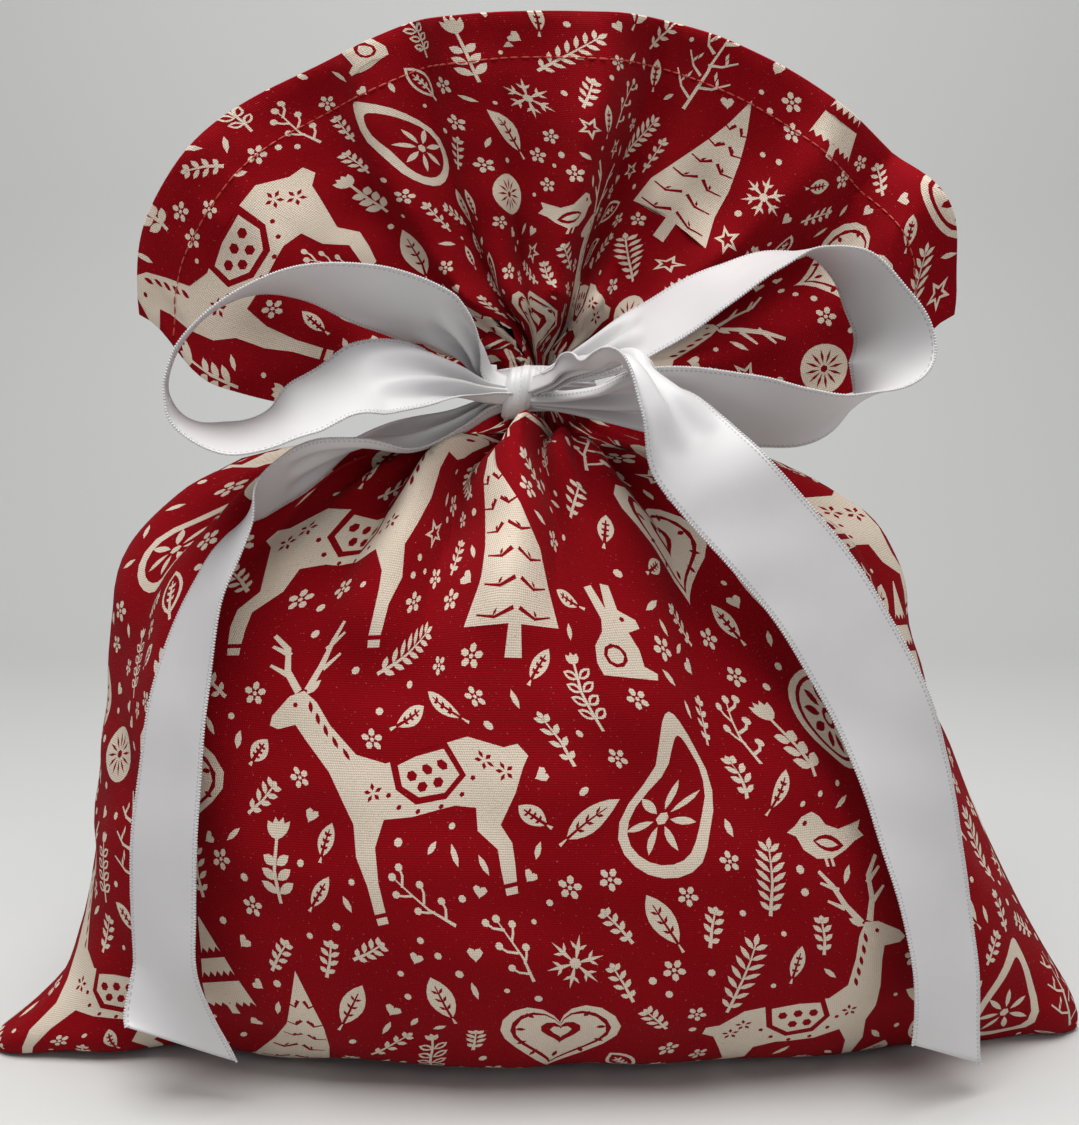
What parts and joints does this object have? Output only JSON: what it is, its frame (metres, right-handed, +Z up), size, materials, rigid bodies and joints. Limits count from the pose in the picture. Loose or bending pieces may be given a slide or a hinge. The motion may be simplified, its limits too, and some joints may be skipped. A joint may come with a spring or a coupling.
{
  "type": "drawstring gift pouch",
  "caption": "Filled cloth gift pouch with a gathered neck, a fanned mouth above it and a satin ribbon tied in a bow.",
  "frame": {"origin": "on the table, under the middle of the pouch", "axes": "+Z up, -Y towards the bow at the front, +X to the right seen from the front"},
  "size_m": [0.3154, 0.1422, 0.288],
  "materials": {
    "printed_cotton": "plain-weave cotton with a cream print on a red ground",
    "seam_cloth": "natural cotton, wrong side, with a bound edge",
    "filling": "soft wadding",
    "hem_thread": "orange-red sewing thread",
    "satin_ribbon": "white satin ribbon with woven edges"
  },
  "bodies": {
    "pouch": {"front_panel": "printed_cotton", "back_panel": "printed_cotton", "left_side_seam": "seam_cloth", "right_side_seam": "seam_cloth", "bottom_seam": "seam_cloth", "filling": "filling", "neck_gathers": "printed_cotton", "neck_band": "satin_ribbon", "knot": "satin_ribbon", "ribbon_tack": "satin_ribbon", "left_tail_turn": "satin_ribbon", "right_tail_turn": "satin_ribbon"},
    "ruff": {"front_ruff": "printed_cotton", "back_ruff": "printed_cotton", "left_ruff_seam": "seam_cloth", "right_ruff_seam": "seam_cloth", "front_hem": "seam_cloth", "back_hem": "seam_cloth", "front_hem_thread": "hem_thread", "back_hem_thread": "hem_thread"},
    "left_loop": {"left_loop": "satin_ribbon"},
    "right_loop": {"right_loop": "satin_ribbon"},
    "left_tail": {"left_tail": "satin_ribbon"},
    "right_tail": {"right_tail": "satin_ribbon"}
  },
  "joints": [
    {"name": "ruff_tilt", "type": "hinge", "parent": "pouch", "child": "ruff", "pos_m": [0, 0, 0.195], "axis": [-1, 0, 0], "range_deg": [0, 25]},
    {"name": "left_loop_lift", "type": "hinge", "parent": "pouch", "child": "left_loop", "pos_m": [-0.006, -0.0217, 0.188], "axis": [0, 1, 0], "range_deg": [0, 20]},
    {"name": "right_loop_lift", "type": "hinge", "parent": "pouch", "child": "right_loop", "pos_m": [-0.006, -0.0217, 0.188], "axis": [0, -1, 0], "range_deg": [0, 20]},
    {"name": "left_tail_lift", "type": "hinge", "parent": "pouch", "child": "left_tail", "pos_m": [-0.081, -0.0517, 0.148], "axis": [-0.4061, 0.9138, 0], "range_deg": [0, 50]},
    {"name": "right_tail_lift", "type": "hinge", "parent": "pouch", "child": "right_tail", "pos_m": [0.036, -0.0637, 0.175], "axis": [-0.7807, -0.3904, -0.488], "range_deg": [0, 50]}
  ]
}
